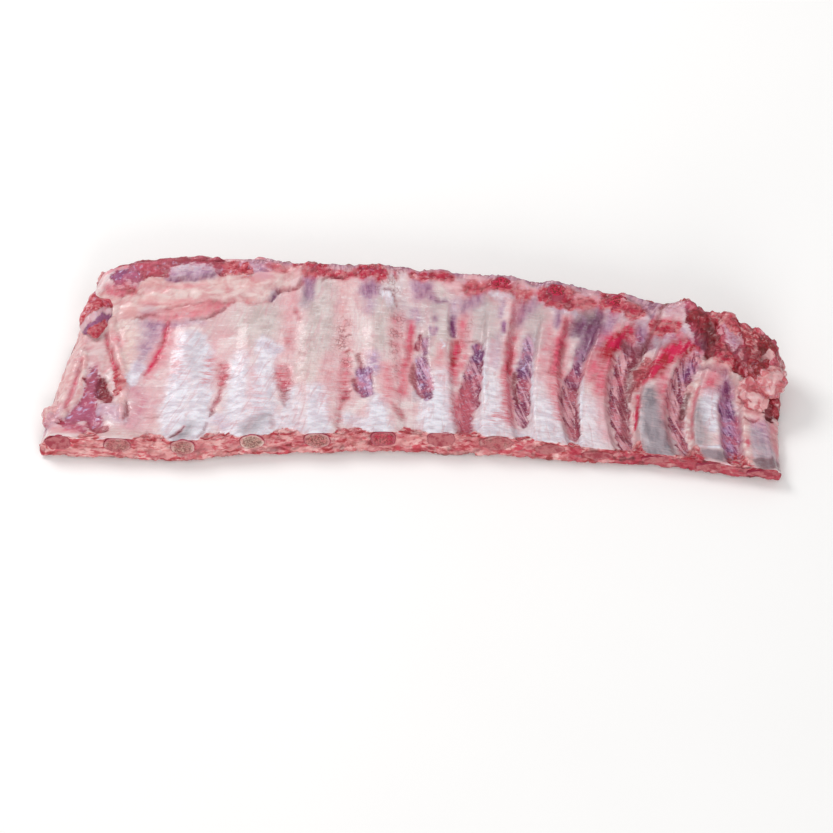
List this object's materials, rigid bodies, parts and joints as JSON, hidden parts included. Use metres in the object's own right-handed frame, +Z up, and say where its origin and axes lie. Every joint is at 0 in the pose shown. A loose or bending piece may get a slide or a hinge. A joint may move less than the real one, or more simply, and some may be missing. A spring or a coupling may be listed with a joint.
{
  "type": "beef back rib rack",
  "caption": "Raw rack of beef back ribs lying bone side up: a long, gently curved slab of fat, membrane and lean with rib bones sawn off along one long edge.",
  "frame": {"origin": "on the table, under the middle of the rack's bounding box", "axes": "+X along the rack from its loin end to its neck end, +Y from the sawn rib ends to the chine side, +Z up out of the bone side"},
  "size_m": [0.7442, 0.2438, 0.0669],
  "materials": {
    "meat": "satin",
    "bone": "satin"
  },
  "bodies": {
    "root": {"rack_meat": "meat", "rib_bone_01": "bone", "rib_bone_02": "bone", "rib_bone_03": "bone", "rib_bone_04": "bone", "rib_bone_05": "bone", "rib_bone_06": "bone", "rib_bone_07": "bone", "rib_bone_08": "bone", "rib_bone_09": "bone", "rib_bone_10": "bone", "rib_bone_11": "bone", "rib_bone_12": "bone", "rib_bone_13": "bone"}
  },
  "joints": []
}
